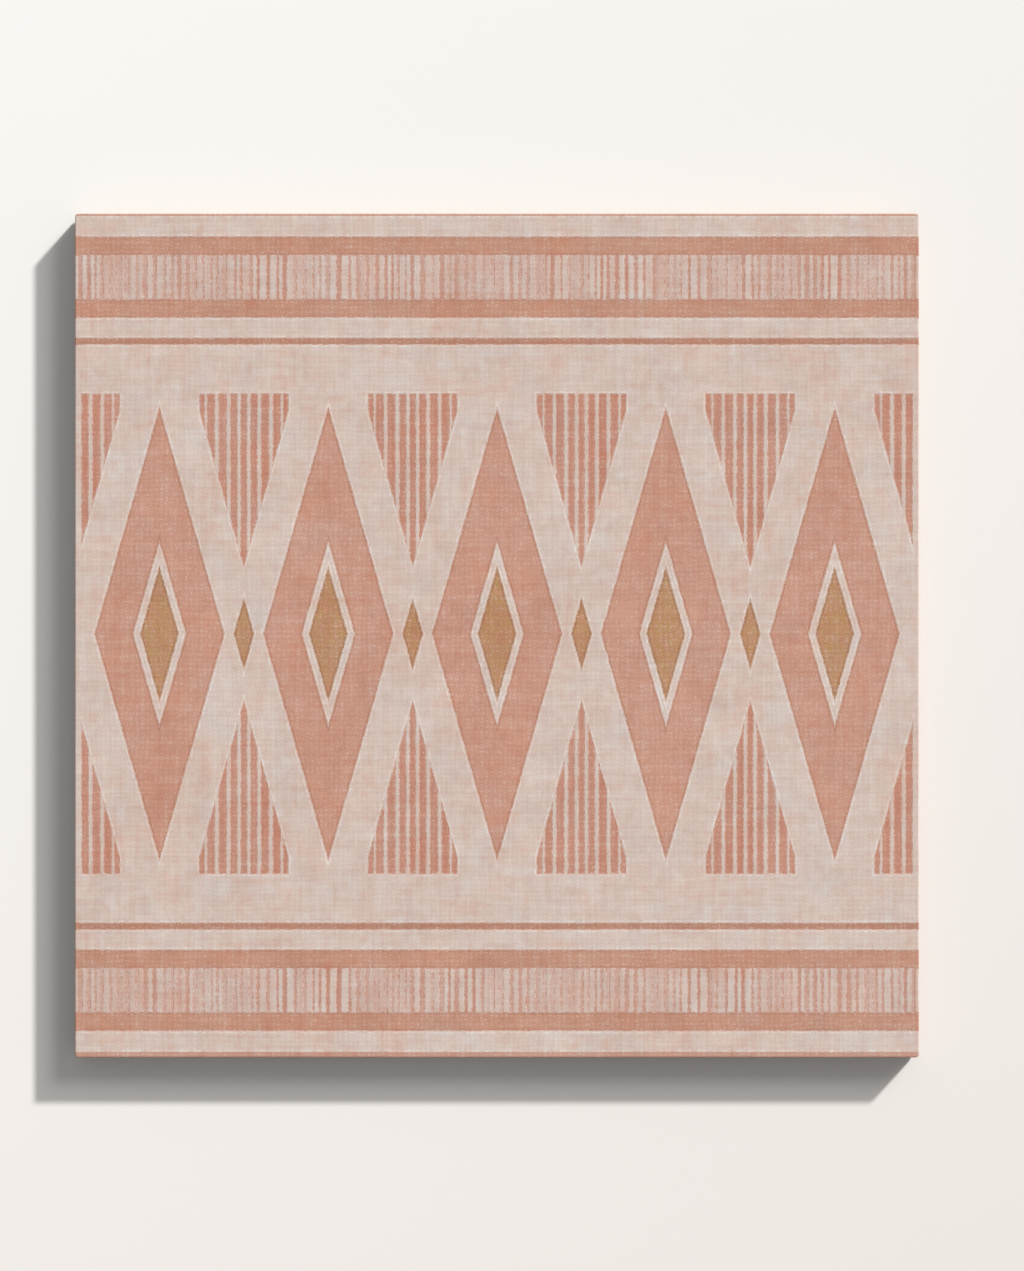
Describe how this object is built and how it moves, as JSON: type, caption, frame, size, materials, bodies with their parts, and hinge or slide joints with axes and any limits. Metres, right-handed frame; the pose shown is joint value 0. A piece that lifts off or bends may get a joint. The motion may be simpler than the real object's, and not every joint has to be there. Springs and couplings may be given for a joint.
{
  "type": "porcelain border tile",
  "caption": "Square matt porcelain border tile with printed edge stripes and a geometric band, soft face edges and a ribbed keying back for adhesive.",
  "frame": {"origin": "middle of the back, on the plane of the keying ribs that the tile rests on", "axes": "+X along the border stripes, +Y across the border, +Z out of the printed face"},
  "size_m": [0.2, 0.2, 0.009],
  "materials": {
    "porcelain": "matte"
  },
  "bodies": {
    "root": {"border_tile": "porcelain"}
  },
  "joints": []
}
